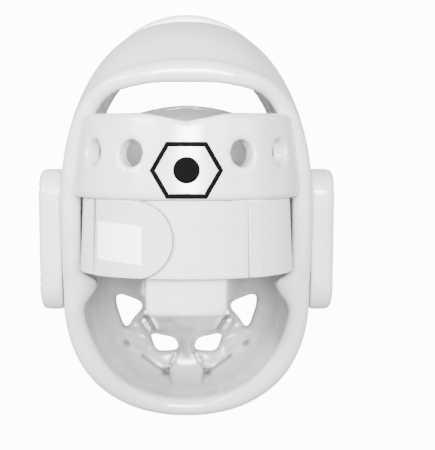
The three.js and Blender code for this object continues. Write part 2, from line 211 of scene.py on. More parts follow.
def piece_from(name, points, faces, uv=None):
    """Mesh object at the origin from points in millimetres and quads or triangles as index rows."""
    mesh = bpy.data.meshes.new(name)
    mesh.from_pydata((np.asarray(points, float) * MM).tolist(), [], list(faces))
    mesh.validate()
    piece = bpy.data.objects.new(name, mesh)
    bpy.context.collection.objects.link(piece)
    if uv is not None:
        layer = mesh.uv_layers.new(name="along")
        corner = np.empty(len(mesh.loops), int)
        mesh.loops.foreach_get("vertex_index", corner)
        layer.data.foreach_set("uv", np.asarray(uv, float)[corner].ravel())
    return piece


def grid_faces(rows, columns, closed):
    """Quads of a grid of rows by columns, each row joined end to end if it is closed."""
    row = np.arange(rows - 1)[:, None]
    column = np.arange(columns if closed else columns - 1)[None, :]
    after = (column + 1) % columns
    return np.stack([row * columns + column, row * columns + after, (row + 1) * columns + after,
                     (row + 1) * columns + column], -1).reshape(-1, 4)


def closed_grid(points):
    """Points and faces of a grid of closed rows, with a fan of triangles at each end."""
    rows, columns, _ = points.shape
    flat = points.reshape(-1, 3)
    first, last = len(flat), len(flat) + 1
    step = np.arange(columns)
    after = (step + 1) % columns
    base = (rows - 1) * columns
    start = np.stack([np.full(columns, first), after, step], 1)
    end = np.stack([np.full(columns, last), base + step, base + after], 1)
    ends = np.stack([points[0].mean(0), points[-1].mean(0)])
    faces = grid_faces(rows, columns, True).tolist() + start.tolist() + end.tolist()
    return np.vstack([flat, ends]), faces


def finish_mesh(piece):
    """Replaces the piece's mesh by the result of its modifiers and shades it smooth."""
    graph = bpy.context.evaluated_depsgraph_get()
    mesh = bpy.data.meshes.new_from_object(piece.evaluated_get(graph))
    piece.modifiers.clear()
    piece.data = mesh
    mesh.name = piece.name
    mesh.shade_smooth()
    return piece


def cut(piece, cutter, operation="DIFFERENCE"):
    """Boolean of the piece with the cutter, which is then deleted."""
    modifier = piece.modifiers.new("cut", "BOOLEAN")
    modifier.object = cutter
    modifier.operation = operation
    modifier.solver = "EXACT"
    finish_mesh(piece)
    bpy.data.objects.remove(cutter)


def soften(piece, voxel, rounds):
    """One skin of even facets with every edge rounded, as dipping leaves it."""
    remesh = piece.modifiers.new("skin", "REMESH")
    remesh.mode = "VOXEL"
    remesh.voxel_size = voxel
    smooth = piece.modifiers.new("soft", "SMOOTH")
    smooth.factor = 0.5
    smooth.iterations = rounds
    return finish_mesh(piece)


def read_points(piece):
    """The mesh's points in millimetres, a row each."""
    points = np.empty(len(piece.data.vertices) * 3)
    piece.data.vertices.foreach_get("co", points)
    return points.reshape(-1, 3) / MM


def read_normals(piece):
    """The mesh's unit normals at its points, a row each."""
    normals = np.empty(len(piece.data.vertices) * 3)
    piece.data.vertices.foreach_get("normal", normals)
    return normals.reshape(-1, 3)


def write_points(piece, points):
    """Moves the mesh's points to the given places in millimetres."""
    piece.data.vertices.foreach_set("co", (points * MM).ravel())
    piece.data.update()


def prism(name, outline, low, high):
    """Upright prism of an outline in X and Y, counterclockwise, between two depths."""
    outline = np.asarray(outline, float)
    count = len(outline)
    points = np.vstack([np.column_stack([outline, np.full(count, z)]) for z in (low, high)])
    sides = grid_faces(2, count, True).tolist()
    faces = sides + [list(range(count))[::-1], list(range(count, 2 * count))]
    return piece_from(name, points, faces)


def rounded_rectangle(left, bottom, right, top, corner, steps=10):
    """Outline of a rectangle with quarter-round corners, counterclockwise from the lower right."""
    turns = np.linspace(0, np.pi / 2, steps)
    middles = ((right - corner, bottom + corner, -np.pi / 2), (right - corner, top - corner, 0),
               (left + corner, top - corner, np.pi / 2), (left + corner, bottom + corner, np.pi))
    quarters = [(x + corner * np.cos(turns + start), y + corner * np.sin(turns + start))
                for x, y, start in middles]
    return np.vstack([np.column_stack(quarter) for quarter in quarters])


def smooth_step(value, low, high):
    """0 below low and 1 above high, with the cubic 3 s s - 2 s s s between them."""
    share = np.clip((value - low) / (high - low), 0, 1)
    return share * share * (3 - 2 * share)


def read_rim(way):
    """Depth of the rear rim: the table of shares read with a smooth cubic between its rows."""
    ways, shares = np.array(RIM_WAYS), np.array(RIM_SHARES)
    row = np.clip(np.searchsorted(ways, way, side="right") - 1, 0, len(ways) - 2)
    share = (way - ways[row]) / (ways[row + 1] - ways[row])
    before, start, end = shares[np.maximum(row - 1, 0)], shares[row], shares[row + 1]
    after = shares[np.minimum(row + 2, len(ways) - 1)]
    slope_in, slope_out = (end - before) / 2, (after - start) / 2
    bend = 3 * (end - start) - 2 * slope_in - slope_out
    twist = 2 * (start - end) + slope_in + slope_out
    return RIM_DEPTH * (start + slope_in * share + bend * share ** 2 + twist * share ** 3)


def shell_points(way, side, depth, inset):
    """Superellipse girth at each depth: way runs from the crown (0) down a side (-1 or 1) to the
    chin (1). The girth grows from the flat of the face by a superelliptic rounding, and the crown
    falls away behind its apex. Inset 0 is the outer face and 1 the inner."""
    back = np.maximum(0, depth - APEX_DEPTH) / (RIM_DEPTH - APEX_DEPTH)
    swell = JAW_SWELL * np.sin(np.pi * np.maximum(0, (way - JAW_START) / (1 - JAW_START)))
    legs = np.sin(np.pi * np.minimum(1, way / (1 - JAW_START)))
    low_way, peak_way, end_way = BULGE_WAYS
    bulge = (CHEEK_BULGE * smooth_step(way, low_way, peak_way) * (1 - smooth_step(way, peak_way, end_way))
             * smooth_step(depth, *BULGE_DEPTHS))
    start = inset * FRONT_WALL

    def rounding(full):
        share = np.clip((depth - start) / (full - start), 0, 1)
        return (1 - (1 - share) ** ROUNDNESS) ** (1 / ROUNDNESS)

    wide = (FLAT_HALF_WIDTH + (SHELL_WIDTH / 2 - inset * (SIDE_WALL + swell) - FLAT_HALF_WIDTH)
            * rounding(CHEEK_DEPTH) - REAR_DRAW_IN * back ** 2 - inset * (LEG_SWELL * back * legs + bulge))
    crown = GUARD_HEIGHT / 2 - CROWN_PAD_RISE - inset * CROWN_WALL
    high = FLAT_TOP + (crown - FLAT_TOP) * rounding(BROW_DEPTH) - CROWN_FALL * back ** 2
    low = FLAT_DROP + (GUARD_HEIGHT / 2 - inset * CHIN_WALL - FLAT_DROP) * rounding(CHIN_DEPTH)
    quarter = 1 - JAW_START
    over = way < 0.5
    angle = np.pi / 2 * np.where(over, np.clip(1 - way / quarter, 0, 1),
                                 np.clip((way - JAW_START) / quarter, 0, 1))
    squareness = np.where(over, CROWN_SQUARENESS + REAR_SQUARING * inset * back, CHIN_SQUARENESS)
    across = np.clip(np.cos(angle), 0, 1) ** (2 / squareness)
    along = np.clip(np.sin(angle), 0, 1) ** (2 / squareness)
    slide = SIDE_TOP - (SIDE_TOP + SIDE_DROP) * np.clip((way - quarter) / (JAW_START - quarter), 0, 1)
    y = np.where(way < quarter, SIDE_TOP + (high - SIDE_TOP) * along,
                 np.where(way > JAW_START, -SIDE_DROP - (low - SIDE_DROP) * along, slide))
    return np.stack([side * wide * across, y, depth + 0 * way], -1)


def shell_form():
    """The hollow shell as one closed grid: outer face, half-round rim, inner face."""
    half = np.linspace(0, 1, 150)
    way = np.concatenate([half, half[1:-1][::-1]])
    side = np.concatenate([-np.ones(len(half)), np.ones(len(half) - 2)])
    shoulder = read_rim(way) - SIDE_WALL / 2
    shares = np.linspace(0, 1, 70) ** STATION_CROWDING
    outer = [shell_points(way, side, shoulder * share, 0) for share in shares]
    reach = shoulder - FRONT_WALL
    inner = [shell_points(way, side, FRONT_WALL + reach * share, 1) for share in shares[::-1]]
    rim = []
    for turn in np.linspace(0, np.pi, 12)[1:-1]:
        point = outer[-1] + (inner[0] - outer[-1]) * (1 - np.cos(turn)) / 2
        point[:, 2] = shoulder + SIDE_WALL / 2 * np.sin(turn)
        rim.append(point)
    return piece_from("foam_hood", *closed_grid(np.array(outer + rim + inner)))


def open_shell(hood):
    """Cuts the opening over the forehead, the eye opening and the four breathing holes."""
    reach = math.asin(CROWN_OPENING_HALF_WIDTH / FOREHEAD_RADIUS)
    turns = np.linspace(np.pi / 2 + reach, np.pi / 2 - reach, 40)
    arc = np.column_stack([FOREHEAD_RADIUS * np.cos(turns),
                           FOREHEAD_TOP - FOREHEAD_RADIUS + FOREHEAD_RADIUS * np.sin(turns)])
    corners = [(CROWN_OPENING_HALF_WIDTH, GUARD_HEIGHT), (-CROWN_OPENING_HALF_WIDTH, GUARD_HEIGHT)]
    cut(hood, prism("over_forehead", np.vstack([arc, corners]), -PAST, CROWN_OPENING_DEPTH))
    eyes = rounded_rectangle(-EYE_HALF_WIDTH, -EYE_DROP, EYE_HALF_WIDTH, EYE_TOP, EYE_CORNER)
    cut(hood, prism("eyes", eyes, -PAST, CHEEK_DEPTH))
    for side in (-1, 1):
        for (middle_x, middle_y, wide, high), corners in ((OUTER_VENT, TRIANGLE), (INNER_VENT, QUAD)):
            outline = [(side * (middle_x + x * wide), middle_y + y * high) for x, y in corners]
            outline = outline if side < 0 else outline[::-1]
            cut(hood, prism("breath", outline, -PAST, VENT_CUT_DEPTH))


def line_mask(x, y, start, end, width):
    """1 on the line from start to end, falling smoothly to 0 at the given distance from it."""
    (x0, y0), (x1, y1) = start, end
    length = (x1 - x0) ** 2 + (y1 - y0) ** 2
    share = np.clip(((x - x0) * (x1 - x0) + (y - y0) * (y1 - y0)) / length, 0, 1)
    distance = np.hypot(x - x0 - share * (x1 - x0), y - y0 - share * (y1 - y0))
    return 1 - smooth_step(distance, 0, width)


# Lines on the inside of the mouth guard, on both sides of its middle: start, end, width, rise
MOUTH_LINES = (
    ((46, -90), (33, -97), 6.5, 3.0),
    ((40, -84), (30, -98), 4.5, 2.0),
    ((33, -82), (27, -92), 4.5, 1.3),
    ((52, -95), (36, -106), 5.5, 1.8),
    ((7.5, -108), (15, -123), 2.2, -1.8),
    ((35, -110), (16, -124), 2.2, -2.0),
    ((14, -124), (11, -140), 2.2, -1.8),
    ((16, -123), (17, -124), 4.5, -5.0),
    ((48, -99), (46, -100), 3.5, -3.0),
    ((0, -123), (11, -123), 2.0, -0.4),
)

# Lines of painted shade there, along the stem and the crosspiece: start, end, width, strength
STEM_LINES = (
    ((0, -60), (0, -108), 10, 1),
    ((0, -82), (27, -82), 14, 2),
)
GROOVE_DEPTH = 1.5      # lines cut deeper than this also get painted shade
HOLLOW_SHADE = 0.4      # share of painted shade all over the mouth guard's inside
LINE_SHADE = 0.5        # what a line of painted shade adds to it


def mouth_relief(hood):
    """Relief on the inside of the mouth guard, as heights added along the depth: folds between
    the breathing holes, the stem's grooves, the pits at their ends and the crease at the panel's edge.
    It also writes the share of painted shade, 0 to 1, that the vinyl's colour takes at each point: some
    deep inside, more along the stem, the crosspiece and the deeper grooves."""
    points, normals = read_points(hood), read_normals(hood)
    x, y, z = points.T
    inside = smooth_step(normals[:, 2], 0.2, 0.7) * (1 - smooth_step(z, 34, 52)) * smooth_step(z, 9, 13)
    x = np.abs(x)
    height = np.zeros(len(points))
    for start, end, width, rise in MOUTH_LINES:
        height += rise * line_mask(x, y, start, end, width)
    points[:, 2] += inside * height
    write_points(hood, points)
    stem = sum(strength * line_mask(x, y, start, end, width) for start, end, width, strength in STEM_LINES)
    groove = sum(line_mask(x, y, start, end, width)
                 for start, end, width, rise in MOUTH_LINES if rise < -GROOVE_DEPTH)
    # Painted shade deep inside the mouth guard, stronger on the stem, the crosspiece and the deeper
    # grooves
    deep = smooth_step(normals[:, 2], 0.0, 0.35) * smooth_step(z, 8, 12) * (1 - smooth_step(z, 25, 105))
    painted_shade_share = HOLLOW_SHADE + LINE_SHADE * (np.clip(stem, 0, 1) + inside * np.clip(groove, 0, 1))
    shade = hood.data.attributes.new("hollow", "FLOAT", "POINT")
    shade.data.foreach_set("value", np.clip(deep * painted_shade_share, 0, 1))


def wall_points(top, bottom, wide, back, inset, turn, y, taper=0.0, lean=0.0, rise=0.0, top_rise=None,
                forward=0.0):
    """Point on an upright wall that follows an ellipse behind the head, inset from its outer face.
    Its lower edge rises by rise towards the ears and its upper edge by top_rise."""
    share = (y - bottom) / (top - bottom)
    across = wide - taper * share - inset
    reach = back - lean * (1 - share) - ARC_DEPTH - inset
    top_rise = rise if top_rise is None else top_rise
    height = y + (rise + (top_rise - rise) * share) * (1 - np.cos(turn))
    return np.stack([across * np.sin(turn), height, ARC_DEPTH + reach * np.cos(turn) - forward], -1)


def arc_wall(name, size, thickness, start, end, tail=(0, 0), steps=90, rings=12, round_edge=0.5):
    """Curved wall as a closed grid: its cross-section is a slot with rounded edges, carried along
    the arc from one turn to another, with straight tails running forward at the ends."""
    turn = np.radians(np.linspace(start, end, steps))
    forward = np.zeros(steps)
    if tail[0]:
        turn = np.r_[np.full(8, turn[0]), turn]
        forward = np.r_[np.linspace(tail[0], tail[0] / 8, 8), forward]
    if tail[1]:
        turn = np.r_[turn, np.full(8, turn[-1])]
        forward = np.r_[forward, np.linspace(tail[1] / 8, tail[1], 8)]
    top, bottom = size["top"], size["bottom"]
    edge = thickness / 2 * round_edge
    sweep = np.linspace(0, np.pi, 5)
    upper = [(top - edge + edge * np.sin(s), thickness / 2 + thickness / 2 * -np.cos(s)) for s in sweep]
    heights = np.linspace(top - edge, bottom + edge, rings)[1:-1]
    lower = [(bottom + edge - edge * np.sin(s), thickness / 2 + thickness / 2 * np.cos(s)) for s in sweep]
    section = ([(y, 0) for y in heights[::-1]] + upper + [(y, thickness) for y in heights] + lower)
    rows = []
    for y, inset in section:
        rows.append(wall_points(wide=size["wide"], back=size["back"], inset=inset, turn=turn, y=y, top=top,
                                bottom=bottom, taper=size.get("taper", 0), lean=size.get("lean", 0),
                                rise=size.get("rise", 0), top_rise=size.get("top_rise"), forward=forward))
    points = np.array(rows).transpose(1, 0, 2)
    along = np.concatenate([[0], np.cumsum(np.linalg.norm(np.diff(points[:, 0], axis=0), axis=1))])
    flat, faces = closed_grid(points)
    ends = [[along[0], 0], [along[-1], 0]]
    uv = np.vstack([np.stack([np.broadcast_to(along[:, None], points.shape[:2]), points[:, :, 1]], -1)
                    .reshape(-1, 2), ends]) * MM
    return piece_from(name, flat, faces, uv)


BAND = dict(top=BAND_TOP, bottom=BAND_DROP, wide=BAND_HALF_WIDTH, back=BAND_BACK, taper=BAND_TAPER,
            rise=BAND_RISE)


def back_band():
    """Wall of foam behind the head, with a notch in its upper edge and two round vents a side."""
    band = arc_wall("vented_band", BAND, BAND_THICKNESS, -90, 90, steps=160, rings=40)
    notch = ((-NOTCH_HALF_WIDTH, BAND_TOP + 3), (-NOTCH_HALF_WIDTH, BAND_TOP), (0, BAND_TOP - NOTCH_DEPTH),
             (NOTCH_HALF_WIDTH, BAND_TOP), (NOTCH_HALF_WIDTH, BAND_TOP + 3))
    cut(band, prism("notch", notch, ARC_DEPTH, BAND_BACK + PAST))
    circle = np.linspace(0, 2 * np.pi, 48, endpoint=False)
    for side in (-1, 1):
        for turn, height in BAND_VENTS:
            angle = math.radians(side * turn)
            rows = []
            for reach in (BAND_BACK - ARC_DEPTH - DRILL_REACH, BAND_BACK - ARC_DEPTH + DRILL_REACH):
                across = VENT_RADIUS * np.cos(circle)
                rows.append(np.stack([reach * math.sin(angle) + across * math.cos(angle),
                                      height + VENT_RADIUS * np.sin(circle),
                                      ARC_DEPTH + reach * math.cos(angle) - across * math.sin(angle)], -1))
            cut(band, piece_from("drill", *closed_grid(np.array(rows))))
    soften(band, BAND_VOXEL, 8)
    points = read_points(band)
    x, y, z = points.T
    beside = smooth_step(np.abs(x), 27, 36) * (1 - smooth_step(np.abs(x), 55, 70))
    points[:, 2] += BAND_WAVE * np.sin(x / BAND_WAVE_PITCH) * beside
    write_points(band, points)
    return band


def nape_pad():
    """Tongue of foam under the closure, leaning in towards the neck."""
    size = dict(top=BAND_DROP - SEAT, bottom=NAPE_BOTTOM, wide=STRAP_HALF_WIDTH - WEB,
                back=STRAP_BACK - WEB - STRAP_LEAN - SEAT, lean=NAPE_LEAN)
    wall = arc_wall("nape_tongue", size, NAPE_THICKNESS, -45, 45, steps=60, rings=40)
    outline = rounded_rectangle(-NAPE_HALF_WIDTH, NAPE_BOTTOM - 0.5, NAPE_HALF_WIDTH, BAND_DROP + 6, 7)
    cut(wall, prism("tongue_outline", outline, ARC_DEPTH, BAND_BACK), "INTERSECT")
    return soften(wall, BAND_VOXEL, 7)


def copy_of(node, name):
    """Copy of a solid under a new name, its points welded and its materials left off."""
    pad = bpy.data.objects.new(name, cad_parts[node].data.copy())
    pad.data.materials.clear()
    bpy.context.collection.objects.link(pad)
    weld = pad.modifiers.new("weld", "WELD")
    weld.merge_threshold = WELD_GAP
    return finish_mesh(pad)


def ear_pad(side):
    """Thick pad over the ear: a rounded block whose inner face lies on the shell, with shallow
    creases across its outer edge."""
    name = "left" if side < 0 else "right"
    pad = copy_of("ear_pad_" + name, "ear_cushion_" + name)
    soften(pad, EAR_VOXEL, 14)
    points = read_points(pad)
    x, y, z = points.T
    outward = smooth_step(np.abs(x), 92, 103)
    crease = sum(line_mask(z, y, (40, height), (160, height + slope), width)
                 for height, slope, width in EAR_CREASES)
    points[:, 0] -= side * CREASE_DEPTH * crease * outward
    write_points(pad, points)
    return pad


def crown_pad():
    """Raised pad on the front of the crown, from its solid, with rounded edges."""
    return soften(copy_of("crown_pad", "crown_cushion"), CROWN_VOXEL, 10)


# Closure of elastic, loop panel and hook tab
STRAP = dict(top=STRAP_TOP, bottom=STRAP_BOTTOM, wide=STRAP_HALF_WIDTH, back=STRAP_BACK,
             taper=STRAP_TAPER, lean=STRAP_LEAN, rise=STRAP_RISE, top_rise=BAND_RISE)
OUTER = dict(STRAP, wide=STRAP_HALF_WIDTH + WEB + SEAT, back=STRAP_BACK + WEB + SEAT)


def turn_at(distance):
    """Turn in degrees at which the strap lies this far from the middle."""
    return math.degrees(math.asin(distance / STRAP_HALF_WIDTH))


def elastic(side):
    """Elastic webbing from the closure round into the shell, its cords raised along its length, the left
    one darkened by painted shade at its end beside the tab's sewn end.
    """
    start = -turn_at(HOOK_LEFT) + SEAM_TURN - SEAT_TURN if side < 0 else turn_at(LOOP_RIGHT)
    name = "elastic_web_left" if side < 0 else "elastic_web_right"
    if side < 0:
        web = arc_wall(name, STRAP, WEB, -90, start, tail=(TAIL, 0), steps=60, rings=140)
    else:
        web = arc_wall(name, STRAP, WEB, start, 90, tail=(0, TAIL), steps=90, rings=140)
    finish_mesh(web)
    x = read_points(web)[:, 0]
    # Painted shade on the left elastic's end, beside the tab's sewn end
    seam_painted_shade = smooth_step(x, -HOOK_LEFT - 2.5, -HOOK_LEFT - 0.5) if side < 0 else np.zeros(len(x))
    return shade_points(web, seam_painted_shade)


def loop_panel():
    """Brushed panel that the hook tab closes on, darker with painted shade beside the tab's free end and
    at its own sewn end.
    """
    start, end = -turn_at(HOOK_LEFT) + SEAM_TURN, turn_at(LOOP_RIGHT) - SEAT_TURN
    wall = arc_wall("loop_band", STRAP, WEB, start, end, steps=180, rings=90)
    finish_mesh(wall)
    x, y, _ = read_points(wall).T
    radius = (STRAP_TOP - STRAP_BOTTOM) / 2
    # Painted shade on the panel beside the tab's free end and at the panel's sewn end
    beyond = np.hypot(np.maximum(x - TAB_MIDDLE, 0), y - STRAP_BOTTOM - radius) - radius
    beside = np.where(x > TAB_MIDDLE, 1 - smooth_step(beyond, 0, TAB_SHADE), 0)
    seam_painted_shade = smooth_step(x, LOOP_RIGHT - 2, LOOP_RIGHT - 0.5)
    return shade_points(wall, np.maximum(beside, seam_painted_shade))


def shade_points(piece, share):
    """Writes the share of painted shade, 0 to 1, that the cloth's colour takes at each point."""
    shade = piece.data.attributes.new("shade", "FLOAT", "POINT")
    shade.data.foreach_set("value", np.clip(share, 0, 1).astype(np.float32))
    return piece


def hook_tab():
    """Tab with a half-round free end, lying on the loop panel."""
    wall = arc_wall("hook_flap", OUTER, WEB, -turn_at(HOOK_LEFT) + SEAM_TURN, 0, steps=90, rings=40)
    radius = (STRAP_TOP - STRAP_BOTTOM) / 2
    turns = np.linspace(-np.pi / 2, np.pi / 2, 40)
    arc = np.column_stack([TAB_MIDDLE + radius * np.cos(turns),
                           STRAP_BOTTOM + radius + radius * np.sin(turns)])
    left, top = -HOOK_LEFT - 2 * PAST, STRAP_TOP + BAND_RISE
    corners = [(TAB_MIDDLE - TAB_RISE_RUN, top), (left, top)]
    outline = np.vstack([[(left, STRAP_BOTTOM - TAB_MARGIN)], arc, corners])
    cut(wall, prism("tab_outline", outline, ARC_DEPTH, BAND_BACK + 2 * PAST), "INTERSECT")
    return wall


def on_arc(size, lift, flat):
    """Places flat X, Y points, as seen from behind, on the outer face of an arc, raised by lift."""
    x, y = flat[..., 0], flat[..., 1]
    wide, back = size["wide"] + lift, size["back"] + lift
    for _ in range(8):
        turn = np.arcsin(np.clip(x / wide, -1, 1))
        lifted = (y - size.get("rise", 0) * (1 - np.cos(turn)) - size["bottom"])
        share = lifted / (size["top"] - size["bottom"])
        wide = size["wide"] + lift - size.get("taper", 0) * share
        back = size["back"] + lift - size.get("lean", 0) * (1 - share)
    return np.stack([x, y, ARC_DEPTH + (back - ARC_DEPTH) * np.cos(turn)], -1)


def patch(name, size, outline, lift, thickness):
    """Thin sheet on an arc: rings of the outline shrunk towards its middle, wrapped on the arc, with
    the outermost ring turned down to give the edge its thickness."""
    outline = np.asarray(outline, float)
    middle = outline.mean(0)
    rings = [middle + (outline - middle) * share for share in np.linspace(0.04, 1, 24)]
    top = [on_arc(size, lift + thickness, ring) for ring in rings]
    under = [on_arc(size, lift, ring) for ring in rings[::-1]]
    points, faces = closed_grid(np.array(top + under))
    piece = piece_from(name, points, faces)
    piece.data.shade_smooth()
    return piece


def dense(outline, step=0.8):
    """The closed outline with points added so that none are more than about step apart."""
    outline = np.asarray(outline, float)
    rows = []
    for start, end in zip(outline, np.roll(outline, -1, 0)):
        count = max(1, int(np.hypot(*(end - start)) / step))
        rows.append(start + (end - start) * np.linspace(0, 1, count, endpoint=False)[:, None])
    return np.vstack(rows)


def printed_ring(name, size, outline, width, lift, thickness):
    """Printed loop of even width along an outline: four rows of points, closed on themselves."""
    outline = dense(outline)
    ahead, behind = np.roll(outline, -3, 0), np.roll(outline, 3, 0)
    run = ahead - behind
    side = np.stack([-run[:, 1], run[:, 0]], 1) / np.hypot(run[:, 0], run[:, 1])[:, None]
    inner = outline + side * width
    rows = np.array([on_arc(size, lift, outline), on_arc(size, lift + thickness, outline),
                     on_arc(size, lift + thickness, inner), on_arc(size, lift, inner),
                     on_arc(size, lift, outline)])
    count = len(outline)
    faces = grid_faces(4, count, True)
    last = np.stack([3 * count + np.arange(count), 3 * count + (np.arange(count) + 1) % count,
                     (np.arange(count) + 1) % count, np.arange(count)], 1)
    piece = piece_from(name, rows[:4].reshape(-1, 3), np.vstack([faces, last]).tolist())
    piece.data.shade_smooth()
    return piece


def stitches(name, size, lift, runs, spacing=2.4, length=1.7, radius=0.28):
    """Rows of thread stitches on an arc: each stitch is a six-sided bead with narrow ends, sunk by
    half its thickness in the cloth. Runs are start and end points as seen from behind."""
    points, faces = [], []
    ring = np.linspace(0, 2 * np.pi, 6, endpoint=False)
    profile = ((-0.5, 0.25), (-0.3, 0.9), (0.3, 0.9), (0.5, 0.25))
    for start, end in runs:
        start, end = np.asarray(start, float), np.asarray(end, float)
        reach = np.hypot(*(end - start))
        along = (end - start) / reach
        across = np.array([-along[1], along[0]])
        for place in np.arange(length / 2, reach, spacing):
            rows = []
            for share, girth in profile:
                middle = start + along * (place + share * length)
                flat = middle + across * (radius * girth * np.cos(ring))[:, None]
                row = on_arc(size, lift, flat)
                row[:, 2] += radius * girth * np.sin(ring)
                rows.append(row)
            bead, bead_faces = closed_grid(np.array(rows))
            faces += [[index + len(points) * len(bead) for index in face] for face in bead_faces]
            points.append(bead)
    piece = piece_from(name, np.vstack(points), faces)
    piece.data.shade_smooth()
    return piece


def label_outline():
    """Outline of the label, wound counterclockwise from its lower left corner. Its sides are upright,
    and its upper and lower edges fall to the right at the tilt."""
    left, middle = -HOOK_LEFT + LABEL_INSET, (STRAP_TOP + STRAP_BOTTOM) / 2
    fall = math.sin(math.radians(LABEL_TILT))
    return [(left + LABEL_WIDTH * across, middle + LABEL_HEIGHT * up - LABEL_WIDTH * across * fall)
            for across, up in ((0, -0.5), (1, -0.5), (1, 0.5), (0, 0.5))]


def emblem_frame():
    """Corners of the wide six-sided frame, counterclockwise from the right."""
    low, high = EMBLEM_MIDDLE - EMBLEM_HALF_HEIGHT, EMBLEM_MIDDLE + EMBLEM_HALF_HEIGHT
    return ((EMBLEM_HALF_WIDTH, EMBLEM_MIDDLE), (EMBLEM_SHOULDER, high), (-EMBLEM_SHOULDER, high),
            (-EMBLEM_HALF_WIDTH, EMBLEM_MIDDLE), (-EMBLEM_SHOULDER, low), (EMBLEM_SHOULDER, low))


def emblem_disc():
    """Outline of the round disc in the frame's middle."""
    circle = np.linspace(0, 2 * np.pi, 60, endpoint=False)
    return np.column_stack([EMBLEM_DISC * np.cos(circle), EMBLEM_MIDDLE + EMBLEM_DISC * np.sin(circle)])


def tab_seams():
    """Rows of stitches on the tab: up its sewn end, then along its upper and its lower edge."""
    left = -HOOK_LEFT + TAB_SEAM_INSET
    start, end = -HOOK_LEFT + ROW_START, HOOK_REACH - HOOK_LEFT - ROW_END
    return (((left, STRAP_BOTTOM + ROW_START), (left, STRAP_TOP)),
            ((start, STRAP_TOP - UPPER_ROW[0]), (end, STRAP_TOP - UPPER_ROW[1])),
            ((start, STRAP_BOTTOM + LOWER_ROW[0]), (end, STRAP_BOTTOM + LOWER_ROW[1])))


def elastic_seams():
    """Rows of stitches up the elastics: one beside the tab's sewn end, two past the loop panel's."""
    left = -HOOK_LEFT - LEFT_ROW
    low, high = STRAP_BOTTOM + RIGHT_ROW_ENDS[0], STRAP_TOP - RIGHT_ROW_ENDS[1]
    rights = [((LOOP_RIGHT + place, low), (LOOP_RIGHT + place, high)) for place in RIGHT_ROWS]
    return [((left, STRAP_BOTTOM + ROW_START), (left, STRAP_TOP))] + rights


def camera():
    """The photo's camera, looking straight down, its frame shifted off the lens's axis."""
    data = bpy.data.cameras.new("camera")
    eye = bpy.data.objects.new("camera", data)
    bpy.context.collection.objects.link(eye)
    data.sensor_fit = "HORIZONTAL"
    data.sensor_width = 36
    data.lens = FOCUS_PIXELS / PHOTO_WIDTH * data.sensor_width
    data.shift_x = (PHOTO_WIDTH / 2 - AXIS_PIXEL[0]) / PHOTO_WIDTH
    data.shift_y = (AXIS_PIXEL[1] - PHOTO_HEIGHT / 2) / PHOTO_WIDTH
    eye.location = (0, AXIS_Y, CAMERA_HEIGHT)
    bpy.context.scene.camera = eye


def area_light(name, place, target, size, power):
    """Rectangular lamp at a place, turned towards a target."""
    data = bpy.data.lights.new(name, "AREA")
    data.shape = "RECTANGLE"
    data.size, data.size_y = size
    data.energy = power
    lamp = bpy.data.objects.new(name, data)
    bpy.context.collection.objects.link(lamp)
    lamp.location = place
    lamp.rotation_euler = (Vector(target) - Vector(place)).to_track_quat("-Z", "Y").to_euler()


def studio():
    """White floor that shines to the camera alone, a dim white sky and the lamps."""
    reach = FLOOR_HALF_WIDTH
    corners = [(-reach, -reach, 0), (reach, -reach, 0), (reach, reach, 0), (-reach, reach, 0)]
    floor = piece_from("floor", corners, [(0, 1, 2, 3)])
    paper, shader, tree = new_material("white_paper")
    shader.inputs["Base Color"].default_value = (*[FLOOR_GREY] * 3, 1)
    shader.inputs["Roughness"].default_value = 0.9
    shader.inputs["Emission Color"].default_value = (1, 1, 1, 1)
    seen = tree.nodes.new("ShaderNodeLightPath")
    glow = tree.nodes.new("ShaderNodeMath")
    glow.operation = "MULTIPLY"
    glow.inputs[1].default_value = FLOOR_GLOW
    tree.links.new(seen.outputs["Is Camera Ray"], glow.inputs[0])
    tree.links.new(glow.outputs["Value"], shader.inputs["Emission Strength"])
    floor.data.materials.append(paper)
    world = bpy.data.worlds.new("studio")
    bpy.context.scene.world = world
    world.use_nodes = True
    sky = world.node_tree.nodes["Background"]
    sky.inputs["Color"].default_value = (1, 1, 1, 1)
    sky.inputs["Strength"].default_value = SKY_STRENGTH
    for lamp in LAMPS:
        area_light(*lamp)


def new_material(name):
    """Material with one Principled shader: (material, shader, node tree)."""
    material = bpy.data.materials.new(name)
    material.use_nodes = True
    return material, material.node_tree.nodes["Principled BSDF"], material.node_tree


